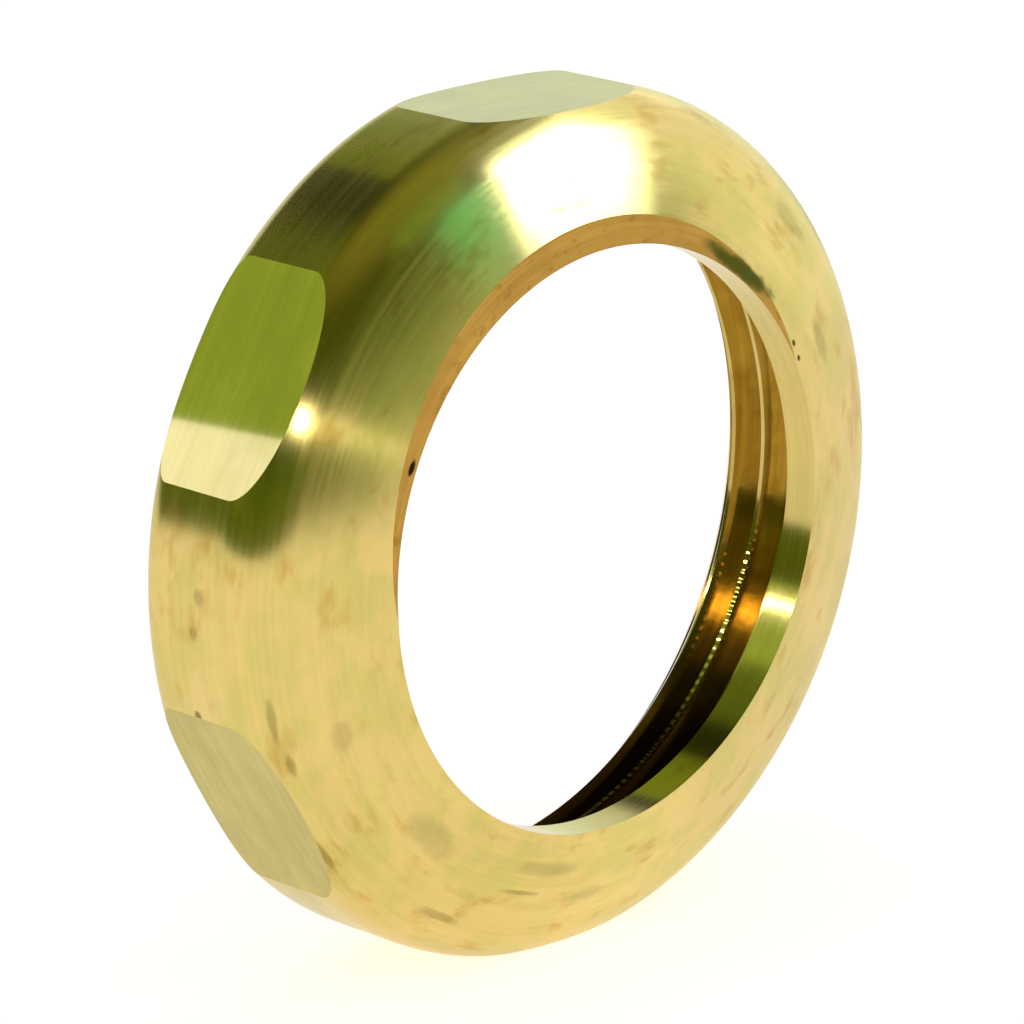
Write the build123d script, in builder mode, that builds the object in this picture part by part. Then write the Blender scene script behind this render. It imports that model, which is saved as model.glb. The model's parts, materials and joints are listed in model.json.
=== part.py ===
from build123d import *

import os

# Tailpiece nut for a 1-1/4 in tubular waste: one piece, turned and milled from solid brass.
# It stands on one of its six spanner flats with its axis level along Y. The crowned front, with the plain
# hole for the tube, faces -Y, and the open threaded end faces +Y. Z = 0 is the surface under the flat.

# Front hole
TUBE_DIAMETER = 31.75
TUBE_CLEARANCE = 0.225  # all round the tube
LIP_THICKNESS = 2.05  # of the front at the hole, from the washer's seat to the rim

# Thread 1-1/4 - 11.5, bored to the crests of its ridges
SEAT_WIDTH = 3.55  # washer's seat, from the hole out to the bore
SEAT_CORNER = 0.8  # 45 degree corner left by the boring tool round the seat
LEAD_IN = 1.9  # 45 degree mouth of the thread

# Body, turned
LENGTH = 11.4  # open end to the crest of the front rim
WALL = 4.4  # from the thread's bore out to the body
CROWN_DROP = 2.9  # rim's crest back to the corner where the front and the body would meet
CROWN_RADIUS = 26.5  # long sweep of the front, from that corner in to the hole
SHOULDER_RADIUS = 3.6  # rounds that corner
BACK_ROUND = 1.6  # outer edge of the open end

# Spanner flats, milled
FLAT_COUNT = 6
FLAT_DEPTH = 0.85  # cut into the body

# Last facing cut over the front rim, taken with the nut chucked a little askew
FACING_TILT = 1.55  # degrees
FACING_SIDE = 105.0  # degrees round the front from +X, where the cut is deepest
FACING_CLEAR = 0.085  # of the cut above the rim's crest, measured at the axis

hole_radius = TUBE_DIAMETER / 2 + TUBE_CLEARANCE
bore_radius = hole_radius + SEAT_WIDTH
mouth_radius = bore_radius + LEAD_IN
body_radius = bore_radius + WALL
flat_distance = body_radius - FLAT_DEPTH
seat_depth = LENGTH - LIP_THICKNESS
corner_depth = LENGTH - CROWN_DROP

# Section plane: its X runs from the open end to the front, its Y runs out from the axis.
open_end = Vector(0, LENGTH / 2, flat_distance)
section_plane = Plane(origin=open_end, x_dir=(0, -1, 0), z_dir=(-1, 0, 0))
# Plane of the open end: its X runs along +X, its Y up, and its normal towards the front.
end_plane = Plane(origin=open_end, x_dir=(1, 0, 0), z_dir=(0, -1, 0))

# The facing cut lies square to the axis, tipped so that it goes deepest on FACING_SIDE.
rim_place = end_plane.offset(LENGTH + FACING_CLEAR).location
facing_plane = Plane(rim_place * Rotation(0, 0, FACING_SIDE) * Rotation(0, FACING_TILT, 0))

os.makedirs("parts", exist_ok=True)

with BuildPart() as nut:
    # The whole turned section, outside and inside, in one revolve
    with BuildSketch(section_plane):
        with BuildLine():
            back_face = Line((0, mouth_radius), (0, body_radius - BACK_ROUND))
            back_edge = JernArc(back_face @ 1, back_face % 1, BACK_ROUND, -90)
            body = Line(back_edge @ 1, (corner_depth, body_radius))
            crown = RadiusArc(body @ 1, (LENGTH, hole_radius), CROWN_RADIUS)
            lip = Line(crown @ 1, (seat_depth, hole_radius))
            seat = Line(lip @ 1, (seat_depth, bore_radius))
            Polyline(seat @ 1, (LEAD_IN, bore_radius), back_face @ 0)
        make_face()
        fillet(vertices().sort_by_distance(body @ 1)[0], SHOULDER_RADIUS)
        chamfer(vertices().sort_by_distance(seat @ 1)[0], SEAT_CORNER)
    revolve(axis=Axis(open_end, section_plane.x_dir))

    # Spanner flats, with one at the bottom for the nut to stand on
    with BuildSketch(end_plane):
        RegularPolygon(flat_distance, FLAT_COUNT, major_radius=False, rotation=-90 - 180 / FLAT_COUNT)
    extrude(amount=LENGTH, mode=Mode.INTERSECT)

    # Crescent left on the upper rim by the askew facing cut
    split(bisect_by=facing_plane, keep=Keep.BOTTOM)

nut.part.label = "nut"
export_step(nut.part, "parts/nut.step")
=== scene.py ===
"""Looks of a turned brass tailpiece nut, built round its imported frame.

The nut stands on one of its spanner flats with its axis along Y. Its crowned front faces -Y and its open
threaded end faces +Y. Lengths are metres unless a name or comment says millimetres.
"""

import json
import logging
import math
from dataclasses import dataclass
from enum import Enum, IntEnum
from functools import partial
from typing import Any

import bmesh
import bpy
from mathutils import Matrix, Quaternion, Vector


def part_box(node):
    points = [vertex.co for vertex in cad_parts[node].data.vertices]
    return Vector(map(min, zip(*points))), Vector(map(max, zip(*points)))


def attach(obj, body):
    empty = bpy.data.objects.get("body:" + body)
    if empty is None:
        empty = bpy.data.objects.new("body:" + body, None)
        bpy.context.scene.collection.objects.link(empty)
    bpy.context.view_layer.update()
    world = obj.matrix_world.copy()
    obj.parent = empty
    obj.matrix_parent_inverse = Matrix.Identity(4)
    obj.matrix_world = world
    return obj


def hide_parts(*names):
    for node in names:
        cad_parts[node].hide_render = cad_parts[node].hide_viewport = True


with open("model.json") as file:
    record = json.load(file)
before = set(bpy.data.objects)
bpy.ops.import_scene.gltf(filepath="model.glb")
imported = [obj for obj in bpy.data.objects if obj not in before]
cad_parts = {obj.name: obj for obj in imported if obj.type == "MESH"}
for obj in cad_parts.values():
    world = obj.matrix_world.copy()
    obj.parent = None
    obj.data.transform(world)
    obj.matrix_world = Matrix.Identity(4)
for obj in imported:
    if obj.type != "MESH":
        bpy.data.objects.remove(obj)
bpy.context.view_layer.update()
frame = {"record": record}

MM = 0.001
IMAGE_WIDTH = 1024  # pixels
SENSOR_WIDTH = 36.0  # mm
SAME_PLACE = 1e-6  # metres, closer than this is one place
CUT_TOLERANCE = 1e-7  # metres, a vertex closer than this lies on a cut
ZONE_MARGIN = 1e-5  # metres that a face's middle may lie past its zone's limit
ALIGNED = 0.9999  # cosine over which two directions are one
NOISE_LOW, NOISE_HIGH = 0.3, 0.7  # nearly all of a noise lies between these
SUM_LOW, SUM_HIGH = 0.7, 1.3  # and so does the sum of two between these
SOFT = {"interpolation_type": "SMOOTHSTEP"}  # for a mask that comes in softly
LOG = logging.getLogger("tailpiece_nut")


def linear(code: str) -> tuple[float, float, float, float]:
    """Turn an sRGB hex colour into linear light.

    Args:
        code: Six hex digits, with or without a leading #.

    Returns:
        Red, green, blue and an alpha of 1.
    """
    digits = code.lstrip("#")
    shares = [int(digits[i:i + 2], 16) / 255 for i in (0, 2, 4)]
    r, g, b = [s / 12.92 if s <= 0.04045 else ((s + 0.055) / 1.055) ** 2.4 for s in shares]
    return r, g, b, 1.0


def add_node(
    tree: bpy.types.NodeTree, kind: str, inputs: dict[str | int, Any] | None = None, **settings: Any
) -> bpy.types.NodeSocket | None:
    """Add one node with its settings, its constants and its links.

    Args:
        tree: Node tree that takes the node.
        kind: Blender's name of the node type.
        inputs: Sockets by name or number. A socket as the value is linked, anything else is a constant.
        settings: Properties of the node, by name.

    Returns:
        The node's first output in use, or None where it has none.
    """
    node = tree.nodes.new(kind)
    for name, value in settings.items():
        setattr(node, name, value)
    for key, value in (inputs or {}).items():
        if isinstance(value, bpy.types.NodeSocket):
            tree.links.new(value, node.inputs[key])
        else:
            node.inputs[key].default_value = value
    return next((out for out in node.outputs if out.enabled), None)


def direction(azimuth: float, elevation: float) -> Vector:
    """Give the unit vector towards a place round the nut.

    Args:
        azimuth: Degrees from the front, -Y, towards +X.
        elevation: Degrees above the floor.

    Returns:
        The unit vector.
    """
    a, e = math.radians(azimuth), math.radians(elevation)
    return Vector((math.sin(a) * math.cos(e), -math.cos(a) * math.cos(e), math.sin(e)))


class Zone(IntEnum):
    """Surfaces of the nut by the tool that made them, as material slots."""

    TURNED = 0
    MILLED = 1
    FACED = 2
    REAMED = 3
    THREADED = 4


class Marks(Enum):
    """Way that a tool's fine marks run on a surface."""

    AROUND = "around"  # rings about the nut's axis
    ALONG = "along"  # straight lines along a flat


@dataclass(frozen=True)
class Smudge:
    """One stain with a place of its own, as a soft oval with a ragged outline."""

    angle: float  # degrees from +X towards +Z
    along: float  # mm, radius plus distance towards the open end
    length: float  # mm round the nut
    width: float  # mm across it
    strength: float  # 0 to 1
    colour: str = ""  # mirror colour, where it isn't the finish's own


# Stains of the dome and the body, then the sliver at the crescent's tip and the dots on the rim
SMUDGES = (
    Smudge(199, 15.7, 2.3, 1.9, 0.2),
    Smudge(193.5, 20.2, 3.0, 0.7, 0.35),
    Smudge(200.5, 19.7, 1.6, 0.7, 0.4),
    Smudge(194.5, 25.9, 0.6, 0.5, 0.7),
    Smudge(178, 24.9, 1.2, 0.9, 0.35),
    Smudge(183, 25.4, 0.9, 0.7, 0.3),
    Smudge(216, 20.4, 3.4, 0.6, 0.4),
    Smudge(225.5, 13.8, 5.0, 2.2, 0.2),
    Smudge(255, 12.9, 5.0, 1.2, 0.2),
    Smudge(251.5, 14.8, 3.4, 0.35, 0.35),
    Smudge(267.5, 15.4, 3.4, 1.1, 0.2),
    Smudge(239, 18.1, 2.8, 0.8, 0.3),
    Smudge(24.5, 13.8, 3.0, 1.4, 0.25),
    Smudge(43.5, 17.3, 3.5, 1.6, 0.2),
    Smudge(52.5, 11.05, 7.0, 1.1, 1.0, "#5E5C16"),
    Smudge(30, 10.9, 0.5, 0.4, 1.0),
    Smudge(26.5, 10.8, 0.4, 0.4, 1.0),
    Smudge(154.5, 11.0, 0.9, 0.4, 1.0),
)


@dataclass(frozen=True)
class BrassFinish:
    """One finish of yellow brass.

    Brass is a metal, so it has no colour of its own apart from its mirror tint. What the eye reads is the
    room in that tint, blurred across the tool's marks, with browner patches where it is tarnished.
    """

    name: str
    tint: str  # mirror colour of the clean metal; the milled finish's is darkened as painted shade
    cloud: str  # mirror colour of the wide soft clouds that polishing left
    stain: str  # mirror colour where it is tarnished
    roughness: float
    streaking: float  # how much further a highlight smears across the marks than along them
    marks: Marks
    mark_spacing: float  # mm between the marks
    mark_depth: float  # mm
    mark_shade: float  # 0 to 1, how much the marks lighten and darken the metal
    stain_size: float  # mm across a patch
    stain_share: float  # 0 to 1, how much of the surface the patches take
    chatter: float = 0.0  # mm between the ripples that a shaking tool left round the bore
    chatter_depth: float = 0.0  # mm
    chatter_radius: float = 0.0  # mm, the ripples lie inside it
    chatter_ridge: float = 0.0  # mm along the axis to the ridge that has them
    chatter_low: float = 0.0  # mm below the axis, where they start
    low_shade: str = ""  # mirror colour of the painted shade low in the nut's bore
    smudges: tuple[Smudge, ...] = ()
    smudge: str = "#4E4A10"  # mirror colour of the stains with a place of their own
    band_marks: int = 6  # marks to a wider band of them
    cloud_size: float = 4.0  # mm across a cloud
    cloud_start: float = 0.4  # noise at a cloud's outline
    cloud_full: float = 0.62  # noise where it is full
    stain_radius: float = 13.0  # mm from the axis, where a patch is as long as it is wide
    stain_start: float = 0.68  # noise at a patch's outline, for a share of 0
    stain_spread: float = 0.3  # by which a share of 1 lowers that
    stain_fade: float = 0.22  # noise from its outline to where it is full
    low_shade_start: float = -9.0  # mm over the axis, where the painted shade starts
    low_shade_full: float = -17.0  # mm over the axis, where the painted shade is full
    smudge_start: float = 1.2  # half widths from a smudge's middle to its outline
    smudge_full: float = 0.5  # half widths to where it is full
    raggedness: float = 0.55  # half widths by which its outline wanders
    wear: float = 0.12  # share by which the marks change the roughness
    chatter_width: float = 2.0  # mm along the axis that the ripples take
    chatter_rise: float = 0.1  # mm inwards over which they come in
    chatter_fade: float = 2.0  # mm downwards over which they come in

    def build(self, axis_height: float) -> bpy.types.Material:
        """Make the material.

        Args:
            axis_height: Height of the nut's axis over the floor, which the rings run about.

        Returns:
            The material, with its nodes.
        """
        material = bpy.data.materials.new(self.name)
        material.use_nodes = True
        tree = material.node_tree
        tree.nodes.clear()
        node = partial(add_node, tree)

        # Place in millimetres from the middle of the axis
        place = node("ShaderNodeTexCoord").node.outputs["Object"]
        centred = node("ShaderNodeMapping", {
            "Vector": place, "Location": (0, 0, -axis_height / MM), "Scale": (1 / MM,) * 3
        })
        xyz = node("ShaderNodeSeparateXYZ", {0: centred}).node.outputs
        spoke = node("ShaderNodeCombineXYZ", {0: xyz["X"], 2: xyz["Z"]})
        radius = node("ShaderNodeVectorMath", {0: spoke}, operation="LENGTH")
        around = node("ShaderNodeVectorMath", {0: spoke}, operation="NORMALIZE")

        # Distance across the marks: along the section where they run round, along the axis on a flat
        along = node("ShaderNodeMath", {0: radius, 1: xyz["Y"]}, operation="ADD")
        across = along if self.marks is Marks.AROUND else xyz["Y"]

        def streaks(spacing: float, turn: float, detail: float) -> bpy.types.NodeSocket:
            """Make a noise that is drawn out along the marks.

            Args:
                spacing: Distance between streaks, mm.
                turn: Noise cells in a radian, so a streak is about 1 / turn radians long.
                detail: Octaves of the noise.

            Returns:
                The noise, about 0.5.
            """
            far = node("ShaderNodeVectorMath", {0: around, "Scale": turn}, operation="SCALE")
            ring = node("ShaderNodeMath", {0: across, 1: spacing}, operation="DIVIDE")
            lift = node("ShaderNodeCombineXYZ", {1: ring})
            spot = node("ShaderNodeVectorMath", {0: far, 1: lift}, operation="ADD")
            return node("ShaderNodeTexNoise", {
                "Vector": spot, "Scale": 1.0, "Detail": detail, "Roughness": 0.6
            })

        grooves = streaks(self.mark_spacing, turn=2.0, detail=2.0)
        bands = streaks(self.mark_spacing * self.band_marks, turn=1.2, detail=3.0)

        # Clouds and tarnish, in soft patches drawn out round the nut
        patches = streaks(self.stain_size, turn=self.stain_radius / self.stain_size, detail=3.0)
        outline = self.stain_start - self.stain_spread * self.stain_share
        stained = node("ShaderNodeMapRange", {
            "Value": patches, "From Min": outline, "From Max": outline + self.stain_fade
        }, **SOFT)
        clouds = streaks(self.cloud_size, turn=4.5, detail=3.0)
        clouded = node("ShaderNodeMapRange", {
            "Value": clouds, "From Min": self.cloud_start, "From Max": self.cloud_full
        }, **SOFT)
        layers = [(clouded, self.cloud), (stained, self.stain)]
        # Painted shade: the metal darkens towards the bottom of the bore
        if self.low_shade:
            low = node("ShaderNodeMapRange", {
                "Value": xyz["Z"], "From Min": self.low_shade_start, "From Max": self.low_shade_full
            }, **SOFT)
            layers.append((low, self.low_shade))

        # Stains that have a place of their own, with ragged outlines
        ragged = node("ShaderNodeTexNoise", {"Vector": centred, "Scale": 0.9, "Detail": 3.0})
        ragged = node("ShaderNodeMapRange", {
            "Value": ragged, "To Min": -self.raggedness, "To Max": self.raggedness
        })
        for smudge in self.smudges:
            turn = math.radians(smudge.angle)
            out_way = Vector((math.cos(turn), 1, math.sin(turn))) * 2 / smudge.width
            round_way = Vector((-math.sin(turn), 0, math.cos(turn))) * 2 / smudge.length
            middle = smudge.along * 2 / smudge.width
            sideways = node("ShaderNodeVectorMath", {0: centred, 1: round_way}, operation="DOT_PRODUCT")
            outwards = node("ShaderNodeVectorMath", {0: centred, 1: out_way}, operation="DOT_PRODUCT")
            outwards = node("ShaderNodeMath", {0: outwards, 1: middle}, operation="SUBTRACT")
            offset = node("ShaderNodeCombineXYZ", {0: sideways, 1: outwards})
            away = node("ShaderNodeVectorMath", {0: offset}, operation="LENGTH")
            away = node("ShaderNodeMath", {0: away, 1: ragged}, operation="ADD")
            mask = node("ShaderNodeMapRange", {
                "Value": away, "From Min": self.smudge_start, "From Max": self.smudge_full,
                "To Max": smudge.strength,
            }, **SOFT)
            layers.append((mask, smudge.colour or self.smudge))

        # Each layer lies over those before it
        colour = linear(self.tint)
        for mask, code in layers:
            colour = node("ShaderNodeMix", {
                "Factor": mask, "A": colour, "B": linear(code)
            }, data_type="RGBA")

        # Marks that catch or lose a little light
        shade = node("ShaderNodeMath", {0: grooves, 1: bands}, operation="ADD")
        shade = node("ShaderNodeMapRange", {
            "Value": shade, "From Min": SUM_LOW, "From Max": SUM_HIGH,
            "To Min": 1 - self.mark_shade, "To Max": 1.0,
        })
        colour = node("ShaderNodeVectorMath", {0: colour, "Scale": shade}, operation="SCALE")
        worn = node("ShaderNodeMapRange", {
            "Value": grooves, "From Min": NOISE_LOW, "From Max": NOISE_HIGH,
            "To Min": self.roughness * (1 - self.wear), "To Max": self.roughness * (1 + self.wear),
        })
        height = node("ShaderNodeMath", {0: grooves, 1: self.mark_depth}, operation="MULTIPLY")

        # Ripples round the lower part of one ridge
        if self.chatter:
            angle = node("ShaderNodeMath", {0: xyz["Z"], 1: xyz["X"]}, operation="ARCTAN2")
            arc = node("ShaderNodeMath", {0: angle, 1: radius}, operation="MULTIPLY")
            phase = node("ShaderNodeMath", {0: arc, 1: 2 * math.pi / self.chatter}, operation="MULTIPLY")
            ripple = node("ShaderNodeMath", {0: phase}, operation="SINE")
            reach = node("ShaderNodeMapRange", {
                "Value": radius, "To Max": self.chatter_depth,
                "From Min": self.chatter_radius, "From Max": self.chatter_radius - self.chatter_rise,
            })
            ridge = node("ShaderNodeMath", {
                0: xyz["Y"], 1: self.chatter_ridge, 2: self.chatter_width / 2
            }, operation="COMPARE")
            below = node("ShaderNodeMapRange", {
                "Value": xyz["Z"], "To Max": ridge,
                "From Min": -self.chatter_low, "From Max": -self.chatter_low - self.chatter_fade,
            })
            reach = node("ShaderNodeMath", {0: reach, 1: below}, operation="MULTIPLY")
            height = node("ShaderNodeMath", {0: ripple, 1: reach, 2: height}, operation="MULTIPLY_ADD")

        bump = node("ShaderNodeBump", {"Height": height, "Strength": 1.0, "Distance": MM})
        tangent = node("ShaderNodeTangent", direction_type="RADIAL", axis="Y")
        shader = node("ShaderNodeBsdfPrincipled", {
            "Base Color": colour, "Metallic": 1.0, "Roughness": worn, "Anisotropic": self.streaking,
            "Anisotropic Rotation": 0.25, "Tangent": tangent, "Normal": bump,
        })
        node("ShaderNodeOutputMaterial", {"Surface": shader}, is_active_output=True)
        return material


# Turned on a lathe and lightly polished: rings that smear each light straight across them
TURNED_BRASS = BrassFinish(
    name="turned_brass", tint="#EBCD7E", cloud="#DCC873", stain="#D3AE5A", roughness=0.22, streaking=0.97,
    marks=Marks.AROUND, mark_spacing=0.3, mark_depth=0.00005, mark_shade=0.12,
    stain_size=2.4, stain_share=0.5, smudges=SMUDGES,
)
# Milled and left bright: a plain mirror with faint lines along it. Its tint is darkened and greener as
# painted shade for the lowest flat, which mirrors the sheet in the nut's shadow, and all the flats take it
MILLED_BRASS = BrassFinish(
    name="milled_brass", tint="#C8B762", cloud="#C0B05C", stain="#B8A252", roughness=0.025, streaking=0.3,
    marks=Marks.ALONG, mark_spacing=0.3, mark_depth=0.00002, mark_shade=0.14,
    stain_size=3.0, stain_share=0.2,
)
# Faced with a coarse dry cut: dull and tan
FACED_BRASS = BrassFinish(
    name="faced_brass", tint="#CE9C46", cloud="#C69442", stain="#B48034", roughness=0.5, streaking=0.0,
    marks=Marks.AROUND, mark_spacing=0.12, mark_depth=0.003, mark_shade=0.25,
    stain_size=0.8, stain_share=0.45, smudges=SMUDGES, smudge="#2A1A06",
)
# Reamed: the smooth wall of the hole, a bright mirror
REAMED_BRASS = BrassFinish(
    name="reamed_brass", tint="#DCC272", cloud="#D4BE6E", stain="#C0A050", roughness=0.17, streaking=0.5,
    marks=Marks.AROUND, mark_spacing=0.15, mark_depth=0.0003, mark_shade=0.15,
    stain_size=2.0, stain_share=0.3,
)
# Threaded and never polished: browner, darkened low down as painted shade, with the ripples of a shaking
# tool on one ridge
THREADED_BRASS = BrassFinish(
    name="threaded_brass", tint="#DDC274", cloud="#CDB062", stain="#B2964C", roughness=0.13, streaking=0.4,
    marks=Marks.AROUND, mark_spacing=0.15, mark_depth=0.0006, mark_shade=0.3,
    stain_size=2.0, stain_share=0.4, low_shade="#5A4210",
    chatter=0.55, chatter_depth=0.012, chatter_radius=19.8, chatter_ridge=1.5, chatter_low=4.5,
)
FINISHES = {
    Zone.TURNED: TURNED_BRASS,
    Zone.MILLED: MILLED_BRASS,
    Zone.FACED: FACED_BRASS,
    Zone.REAMED: REAMED_BRASS,
    Zone.THREADED: THREADED_BRASS,
}


@dataclass
class Nut:
    """The nut: a turned ring with milled flats, a faced rim and a thread. Sizes are metres."""

    length: float
    body_radius: float
    axis_height: float  # also the flats' distance from the axis
    hole_radius: float
    bore_radius: float
    lip: float
    lead_in: float = 1.9 * MM
    seat_corner: float = 0.8 * MM
    crown_drop: float = 2.9 * MM
    crown_radius: float = 26.5 * MM
    shoulder_radius: float = 3.6 * MM
    back_round: float = 1.6 * MM
    flat_count: int = 6
    facing_tilt: float = math.radians(1.55)  # of the askew cut, from square to the axis
    facing_side: float = math.radians(105)  # way that its normal leans, from +X towards +Z
    facing_clear: float = 0.085 * MM  # by which it passes in front of the rim, on the axis
    thread_pitch: float = 25.4 / 11.5 * MM
    thread_depth: float = 1.45 * MM
    thread_root: float = 0.28 * MM  # width of the groove's floor
    thread_phase: float = 5.4 * MM  # groove's middle from the open end, at +X
    thread_stop: float = 7.4 * MM  # from the open end
    thread_flank: float = math.radians(30)  # each side of the groove, from square to the axis
    thread_before: int = 3  # turns that the cutter starts before the phase
    thread_clear: float = 0.1 * MM  # that the cutter reaches into the open bore
    steps: int = 240  # round the nut
    crown_steps: int = 32
    shoulder_steps: int = 28
    body_steps: int = 6
    back_steps: int = 22
    smooth_angle: float = math.radians(6)  # edges up to it are shaded smooth

    @classmethod
    def from_frame(cls) -> "Nut":
        """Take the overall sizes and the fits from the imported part.

        Returns:
            The nut at its real size.
        """
        low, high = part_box("nut")
        mounts = {m["name"]: m for m in frame["record"]["mounts"]}
        return cls(
            length=high.y - low.y,
            body_radius=(high.x - low.x) / 2,
            axis_height=mounts["thread"]["pos_m"][2],
            hole_radius=mounts["tube_hole"]["dims"]["r_mm"] * MM,
            bore_radius=mounts["thread"]["dims"]["r_mm"] * MM,
            lip=mounts["washer_seat"]["pos_m"][1] - low.y,
        )

    def place(self, depth: float, radius: float) -> Vector:
        """Give the point above the axis at a depth from the open end and a radius, in the part's frame."""
        return Vector((0, self.length / 2 - depth, self.axis_height + radius))

    def round_direction(self, angle: float) -> Vector:
        """Give the unit vector out from the axis, angle radians from +X towards +Z."""
        return Vector((math.cos(angle), 0, math.sin(angle)))

    def turn(self) -> bpy.types.Object:
        """Turn the ring: draw its section as one line of points and arcs, then spin it about the axis.

        Returns:
            The turned ring, still without flats or thread.
        """
        bpy.ops.object.select_all(action="DESELECT")
        bpy.ops.mesh.primitive_plane_add(size=MM, location=(0, 0, 0))
        ring = bpy.context.object
        ring.name = "brass_nut"
        ring.data.name = "brass_nut"
        bpy.ops.object.mode_set(mode="EDIT")
        bpy.ops.mesh.select_all(action="SELECT")
        bpy.ops.mesh.merge(type="CENTER")

        # Centres of the crown's and the shoulder's arcs, as (depth, radius)
        corner = Vector((self.length - self.crown_drop, self.body_radius))
        rim = Vector((self.length, self.hole_radius))
        chord = rim - corner
        sag = math.sqrt(self.crown_radius ** 2 - chord.length_squared / 4)
        crown = (corner + rim) / 2 + sag * Vector((chord.y, -chord.x)).normalized()
        shoulder_height = self.body_radius - self.shoulder_radius
        reach = self.crown_radius - self.shoulder_radius
        shoulder_depth = crown.x + math.sqrt(reach ** 2 - (shoulder_height - crown.y) ** 2)
        shoulder = Vector((shoulder_depth, shoulder_height))
        meet = math.atan2(shoulder.y - crown.y, shoulder.x - crown.x)
        rim_angle = math.atan2(rim.y - crown.y, rim.x - crown.x)

        seat = self.length - self.lip
        back = Vector((self.back_round, self.body_radius - self.back_round))
        self.start_line(ring, self.place(rim.x, rim.y))
        self.draw_arc(crown, meet - rim_angle, self.crown_steps)
        self.draw_arc(shoulder, math.pi / 2 - meet, self.shoulder_steps)
        self.draw_line(ring, self.place(back.x, self.body_radius), self.body_steps)
        self.draw_arc(back, math.pi / 2, self.back_steps)
        mouth = self.bore_radius + self.lead_in
        for depth, radius in (
            (0, mouth),
            (self.lead_in, self.bore_radius),
            (seat - self.seat_corner, self.bore_radius),
            (seat, self.bore_radius - self.seat_corner),
            (seat, self.hole_radius),
            (rim.x, rim.y),
        ):
            self.draw_line(ring, self.place(depth, radius), 1)
        bpy.ops.mesh.select_all(action="SELECT")
        bpy.ops.mesh.remove_doubles(threshold=SAME_PLACE)
        bpy.ops.mesh.select_all(action="SELECT")
        bpy.ops.mesh.spin(
            steps=self.steps, angle=2 * math.pi, center=self.place(0, 0), axis=(0, 1, 0),
            use_auto_merge=True,
        )
        bpy.ops.mesh.select_all(action="SELECT")
        bpy.ops.mesh.remove_doubles(threshold=SAME_PLACE)
        bpy.ops.mesh.normals_make_consistent(inside=False)
        bpy.ops.object.mode_set(mode="OBJECT")
        return ring

    def start_line(self, ring: bpy.types.Object, point: Vector) -> None:
        """Move the section's only vertex to its start.

        Args:
            ring: Object in edit mode, with one vertex.
            point: Where the section starts.
        """
        mesh = bmesh.from_edit_mesh(ring.data)
        for vertex in mesh.verts:
            vertex.co = point
            vertex.select = True
        bmesh.update_edit_mesh(ring.data)

    def draw_line(self, ring: bpy.types.Object, end: Vector, parts: int) -> None:
        """Extrude the section's last vertex in a straight line.

        Args:
            ring: Object in edit mode, with its last vertex selected.
            end: Where the line ends.
            parts: How many edges it has.
        """
        mesh = bmesh.from_edit_mesh(ring.data)
        start = next(v.co.copy() for v in mesh.verts if v.select)
        for _ in range(parts):
            bpy.ops.mesh.extrude_region_move(TRANSFORM_OT_translate={"value": (end - start) / parts})

    def draw_arc(self, centre: Vector, angle: float, parts: int) -> None:
        """Spin the section's last vertex about a centre in the section's plane.

        Args:
            centre: The arc's centre, as (depth, radius).
            angle: Turn in radians, positive from the front towards the body.
            parts: How many edges it has.
        """
        bpy.ops.mesh.spin(
            steps=parts, angle=angle, center=self.place(centre.x, centre.y), axis=(1, 0, 0),
            use_auto_merge=False,
        )

    def cut(self, ring: bpy.types.Object, point: Vector, normal: Vector) -> None:
        """Cut away what lies beyond a plane, and close the cut.

        Args:
            ring: The nut.
            point: A point of the plane.
            normal: Which way the waste lies.
        """
        bpy.context.view_layer.objects.active = ring
        bpy.ops.object.mode_set(mode="EDIT")
        bpy.ops.mesh.select_all(action="SELECT")
        bpy.ops.mesh.bisect(
            plane_co=point, plane_no=normal, use_fill=True, clear_inner=False, clear_outer=True,
            threshold=CUT_TOLERANCE,
        )
        bpy.ops.object.mode_set(mode="OBJECT")

    def flat_angles(self) -> list[float]:
        """Give the directions of the flats, with one straight down."""
        return [-math.pi / 2 + 2 * math.pi * i / self.flat_count for i in range(self.flat_count)]

    def facing_plane(self) -> tuple[Vector, Vector]:
        """Give the plane of the askew facing cut.

        Returns:
            A point of it and its outward normal.
        """
        point = self.place(self.length + self.facing_clear, 0)
        lean = self.round_direction(self.facing_side) * math.sin(self.facing_tilt)
        return point, lean + Vector((0, -math.cos(self.facing_tilt), 0))

    def thread_cutter(self) -> bpy.types.Object:
        """Make the helical cutter: a groove's section, screwed about the axis and closed at its ends.

        Returns:
            The cutter, as an object of its own.
        """
        half_floor = self.thread_root / 2
        half_mouth = half_floor + (self.thread_depth + self.thread_clear) * math.tan(self.thread_flank)
        inner, outer = self.bore_radius - self.thread_clear, self.bore_radius + self.thread_depth
        start = self.thread_phase - self.thread_before * self.thread_pitch
        turns = (self.thread_stop - start) / self.thread_pitch
        bpy.ops.object.select_all(action="DESELECT")
        bpy.ops.mesh.primitive_plane_add(size=MM)
        cutter = bpy.context.object
        cutter.name = "thread_cutter"
        corners = ((-half_mouth, inner), (-half_floor, outer), (half_floor, outer), (half_mouth, inner))
        bpy.ops.object.mode_set(mode="EDIT")
        mesh = bmesh.from_edit_mesh(cutter.data)
        for vertex, (depth, radius) in zip(next(iter(mesh.faces)).verts, corners):
            vertex.co = (radius, -depth, 0)
        bmesh.update_edit_mesh(cutter.data)
        bpy.ops.mesh.select_all(action="SELECT")
        bpy.ops.mesh.delete(type="ONLY_FACE")
        bpy.ops.object.mode_set(mode="OBJECT")
        screw = cutter.modifiers.new("helix", "SCREW")
        screw.axis = "Y"
        screw.angle = -2 * math.pi * turns
        screw.screw_offset = -self.thread_pitch * turns
        screw.steps = screw.render_steps = round(self.steps * turns / 2)
        screw.use_merge_vertices = False
        bpy.ops.object.modifier_apply(modifier=screw.name)
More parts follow.
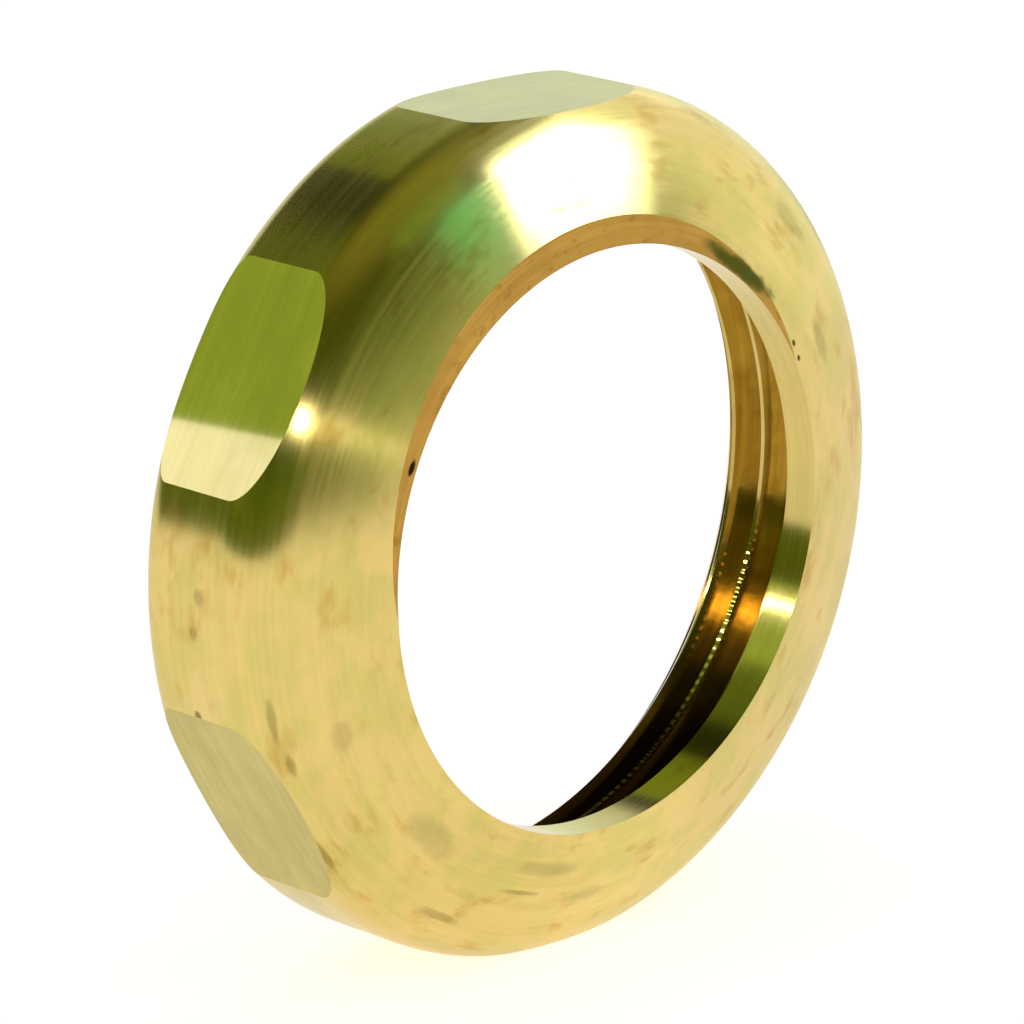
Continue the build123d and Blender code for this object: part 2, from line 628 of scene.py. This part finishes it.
        bpy.ops.object.mode_set(mode="EDIT")
        bpy.ops.mesh.select_all(action="DESELECT")
        bpy.ops.mesh.select_non_manifold()
        bpy.ops.mesh.fill_holes(sides=8)
        bpy.ops.mesh.select_all(action="SELECT")
        bpy.ops.mesh.normals_make_consistent(inside=False)
        bpy.ops.object.mode_set(mode="OBJECT")
        cutter.location = (0, self.length / 2 - start, self.axis_height)
        bpy.ops.object.transform_apply(location=True, rotation=False, scale=False)
        return cutter

    def cut_thread(self, ring: bpy.types.Object) -> None:
        """Cut the thread in the bore.

        Args:
            ring: The nut.
        """
        cutter = self.thread_cutter()
        bpy.ops.object.select_all(action="DESELECT")
        bpy.context.view_layer.objects.active = ring
        ring.select_set(True)
        difference = ring.modifiers.new("thread", "BOOLEAN")
        difference.operation = "DIFFERENCE"
        difference.solver = "EXACT"
        difference.object = cutter
        bpy.ops.object.modifier_apply(modifier=difference.name)
        bpy.data.objects.remove(cutter, do_unlink=True)

    def zone_of(self, face: bpy.types.MeshPolygon) -> Zone:
        """Say which tool made a face.

        Args:
            face: A face of the finished nut.

        Returns:
            Its zone.
        """
        centre, normal = face.center, face.normal
        out = Vector((centre.x, 0, centre.z - self.axis_height))
        point, facing = self.facing_plane()
        if abs((centre - point).dot(facing)) < SAME_PLACE and normal.dot(facing) > ALIGNED:
            return Zone.FACED
        for angle in self.flat_angles():
            away = self.round_direction(angle)
            if abs(out.dot(away) - self.axis_height) < SAME_PLACE and normal.dot(away) > ALIGNED:
                return Zone.MILLED
        if out.length < self.hole_radius + ZONE_MARGIN:
            return Zone.REAMED
        behind_lip = centre.y > self.lip - self.length / 2 - ZONE_MARGIN
        inside_mouth = out.length < self.bore_radius + self.lead_in - ZONE_MARGIN
        if normal.dot(out) < 0 or (behind_lip and inside_mouth):
            return Zone.THREADED
        return Zone.TURNED

    def dress(self, ring: bpy.types.Object) -> None:
        """Smooth the nut and give each surface its finish.

        Args:
            ring: The finished mesh.
        """
        ring.data.materials.clear()
        for zone in Zone:
            ring.data.materials.append(FINISHES[zone].build(self.axis_height))
        for face in ring.data.polygons:
            face.material_index = self.zone_of(face)
        bpy.ops.object.select_all(action="DESELECT")
        ring.select_set(True)
        bpy.context.view_layer.objects.active = ring
        bpy.ops.object.shade_smooth_by_angle(angle=self.smooth_angle)

    def build(self) -> bpy.types.Object:
        """Make the nut as its maker does: turn, thread, mill, face.

        Returns:
            The finished piece, riding on the part's body.
        """
        ring = self.turn()
        self.cut_thread(ring)
        for angle in self.flat_angles():
            away = self.round_direction(angle)
            self.cut(ring, self.place(0, 0) + away * self.axis_height, away)
        self.cut(ring, *self.facing_plane())
        self.dress(ring)
        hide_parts("nut")
        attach(ring, "root")
        return ring


@dataclass(frozen=True)
class Card:
    """A soft light: an evenly lit rectangle that faces the nut."""

    name: str
    azimuth: float  # degrees from the front towards +X, of its middle
    elevation: float  # degrees
    width: float  # degrees, as the nut sees it
    height: float  # degrees
    radiance: float  # 1 is a white surface in full light
    colour: str = "#FFFFFF"
    distance: float = 0.8
    roll: float = 0.0  # degrees that its top leans, anticlockwise as the light looks at the nut

    def build(self, target: Vector) -> bpy.types.Object:
        """Set the card up.

        Args:
            target: Point that it faces.

        Returns:
            The lamp.
        """
        lamp = bpy.data.lights.new(self.name, "AREA")
        lamp.shape = "RECTANGLE"
        lamp.size = 2 * self.distance * math.tan(math.radians(self.width) / 2)
        lamp.size_y = 2 * self.distance * math.tan(math.radians(self.height) / 2)
        lamp.color = linear(self.colour)[:3]
        lamp.energy = self.radiance * math.pi * lamp.size * lamp.size_y
        light = bpy.data.objects.new(self.name, lamp)
        away = direction(self.azimuth, self.elevation)
        light.location = target + away * self.distance
        lean = Quaternion((0, 0, 1), math.radians(self.roll))
        light.rotation_euler = (away.to_track_quat("Z", "Y") @ lean).to_euler()
        light.visible_camera = False
        light.visible_diffuse = False  # it shows in the brass and leaves the sheet evenly lit
        bpy.context.scene.collection.objects.link(light)
        return light


CARDS = (
    # White patch on the dome
    Card("key_softbox", 42.8, 26.5, 20.5, 33, 11.0, "#D2E0FF"),
    # Pale walls on the right and behind, which the dome's right side and the upper flat mirror
    Card("right_wall", 83.5, 22, 61, 60, 1.13, "#F4F6FF"),
    Card("right_back_wall", 144, 12, 62, 36, 0.98, "#F0FAFF"),
    # Pale card before green walls, which the left flat mirrors
    Card("left_back_card", -140.07, 23.27, 4.53, 3.96, 2.9, "#AEA8FF", roll=32.2),
    Card("left_back_wall", -145, 27, 30, 22, 1.06, "#A7C675"),
    Card("left_high_wall", -148, 46, 28, 22, 0.35, "#9CBE50"),
    # Small lamps: the bright spot beside the left flat and the glint on the hole's wall
    Card("front_lamp", -40.1, 21.3, 3.2, 3.2, 130.0, distance=0.5),
    Card("rear_lamp", -136, 21, 2.5, 2.5, 50.0),
    # Green patch beside the white one
    Card("teal_card", 25, 22, 10, 15, 1.9, "#4FBFA8"),
    # Warm light in the thread's grooves
    Card("bore_wall", -113, 26, 16, 40, 0.17, "#FFE2A0"),
    Card("bore_lamp", -113, 29, 12, 5, 7.0, "#FFE0B0"),
    # Low lights in front: the thin line that runs from the bright spot to the hole
    Card("front_strip", -12, 9.5, 52, 2, 1.5, roll=-23.5),
    Card("front_low_wall", 20, 2, 26, 9, 0.8, "#EEFFE0", roll=20),
    # Dim patches of the dark upper left
    Card("olive_card", 8, 48, 20, 16, 0.36, "#C0FF8F"),
    Card("right_high_wall", 155, 42, 18, 16, 0.3, "#DAFF4A"),
)


@dataclass
class Studio:
    """White sheet, soft lights, dim room and camera."""

    target: Vector
    sheet_radius: float = 0.4
    sheet_middle: tuple[float, float] = (-0.14, 0.12)  # it reaches further behind than in front
    sheet_glow: float = 0.64
    sheet_colour: str = "#F4F4F2"
    daylight: float = 0.46  # even light on the sheet, which draws the nut's soft shadow
    room: tuple[tuple[float, str], ...] = (  # sine of the elevation, and the colour that the brass mirrors
        (0.0, "#5E7210"), (0.14, "#566E08"), (0.3, "#465A04"), (0.75, "#454E02"), (1.0, "#8C9440"),
    )
    corner: str = "#262C04"  # colour high behind the nut
    corner_back: tuple[float, float] = (0.1, 0.6)  # parts along +Y over which the corner comes in
    corner_high: tuple[float, float] = (0.35, 0.6)  # and sines of the elevation
    camera_azimuth: float = -44.905
    camera_elevation: float = 16.508
    camera_distance: float = 320 * MM
    pixels_per_mm: float = 18.264  # at the middle of the open end
    aim_right: float = 2.678 * MM  # from the middle of the open end to what the camera looks at
    aim_down: float = 0.71 * MM

    def lay_sheet(self) -> bpy.types.Object:
        """Lay the white sheet that the nut stands on.

        Returns:
            The sheet.
        """
        bpy.ops.object.select_all(action="DESELECT")
        bpy.ops.mesh.primitive_circle_add(
            vertices=96, radius=self.sheet_radius, fill_type="NGON", location=(*self.sheet_middle, 0)
        )
        sheet = bpy.context.object
        sheet.name = "white_sheet"
        material = bpy.data.materials.new("white_paper")
        material.use_nodes = True
        tree = material.node_tree
        tree.nodes.clear()
        node = partial(add_node, tree)
        rays = node("ShaderNodeLightPath").node.outputs
        seen = node("ShaderNodeMath", {0: rays["Is Camera Ray"], 1: rays["Is Glossy Ray"]}, operation="ADD")
        seen = node("ShaderNodeMath", {
            0: seen, 1: rays["Is Transmission Ray"]
        }, operation="ADD", use_clamp=True)
        glow = node("ShaderNodeMath", {0: seen, 1: self.sheet_glow}, operation="MULTIPLY")
        paper = node("ShaderNodeBsdfDiffuse", {"Color": linear(self.sheet_colour)})
        bright = node("ShaderNodeEmission", {"Strength": glow})
        both = node("ShaderNodeAddShader", {0: paper, 1: bright})
        node("ShaderNodeOutputMaterial", {"Surface": both})
        sheet.data.materials.append(material)
        return sheet

    def paint_room(self) -> None:
        """Make the room: dim and olive in the brass, white behind the sheet and even as light."""
        world = bpy.data.worlds.new("room")
        bpy.context.scene.world = world
        world.use_nodes = True
        tree = world.node_tree
        tree.nodes.clear()
        node = partial(add_node, tree)
        way = node("ShaderNodeTexCoord").node.outputs["Generated"]
        xyz = node("ShaderNodeSeparateXYZ", {0: way}).node.outputs

        # What the brass mirrors
        ramp = node("ShaderNodeValToRGB", {0: xyz["Z"]})
        stops = ramp.node.color_ramp.elements
        while len(stops) < len(self.room):
            stops.new(0.5)
        for stop, (height, colour) in zip(stops, self.room):
            stop.position = height
            stop.color = linear(colour)
        start, full = self.corner_back
        behind = node("ShaderNodeMapRange", {"Value": xyz["Y"], "From Min": start, "From Max": full}, **SOFT)
        start, full = self.corner_high
        high = node("ShaderNodeMapRange", {
            "Value": xyz["Z"], "From Min": start, "From Max": full, "To Max": behind
        }, **SOFT)
        room = node("ShaderNodeMix", {
            "Factor": high, "A": ramp, "B": linear(self.corner)
        }, data_type="RGBA")

        # Which of the three a ray sees
        rays = node("ShaderNodeLightPath").node.outputs
        mirrored = node("ShaderNodeMath", {
            0: rays["Is Glossy Ray"], 1: rays["Is Transmission Ray"]
        }, operation="MAXIMUM")
        even = (self.daylight,) * 3 + (1.0,)
        colour = node("ShaderNodeMix", {"Factor": mirrored, "A": even, "B": room}, data_type="RGBA")
        colour = node("ShaderNodeMix", {
            "Factor": rays["Is Camera Ray"], "A": colour, "B": linear("#FFFFFF")
        }, data_type="RGBA")
        background = node("ShaderNodeBackground", {"Color": colour})
        node("ShaderNodeOutputWorld", {"Surface": background})

    def place_camera(self, open_end: Vector) -> bpy.types.Object:
        """Put the camera where the picture was taken from.

        Args:
            open_end: Middle of the nut's open end.

        Returns:
            The camera.
        """
        away = direction(self.camera_azimuth, self.camera_elevation)
        right = Vector((0, 0, 1)).cross(away).normalized()
        up = away.cross(right)
        data = bpy.data.cameras.new("camera")
        data.sensor_width = SENSOR_WIDTH
        data.lens = self.pixels_per_mm * self.camera_distance / MM / IMAGE_WIDTH * SENSOR_WIDTH
        camera = bpy.data.objects.new("camera", data)
        camera.location = open_end + away * self.camera_distance
        aim = open_end + right * self.aim_right - up * self.aim_down
        camera.rotation_euler = (camera.location - aim).to_track_quat("Z", "Y").to_euler()
        bpy.context.scene.collection.objects.link(camera)
        bpy.context.scene.camera = camera
        return camera

    def build(self, open_end: Vector) -> None:
        """Set up the whole studio.

        Args:
            open_end: Middle of the nut's open end.
        """
        self.lay_sheet()
        self.paint_room()
        for card in CARDS:
            card.build(self.target)
        self.place_camera(open_end)
        bpy.context.scene.view_settings.view_transform = "Standard"


def main() -> None:
    """Build the nut and its studio, and report each piece."""
    logging.basicConfig(level=logging.INFO, format="%(name)s: %(message)s")
    nut = Nut.from_frame()
    piece = nut.build()
    LOG.info("%s: %d faces, %d vertices", piece.name, len(piece.data.polygons), len(piece.data.vertices))
    Studio(target=nut.place(nut.length / 2, 0)).build(nut.place(0, 0))
    LOG.info("studio: %d cards", len(CARDS))


if __name__ == "__main__":
    main()
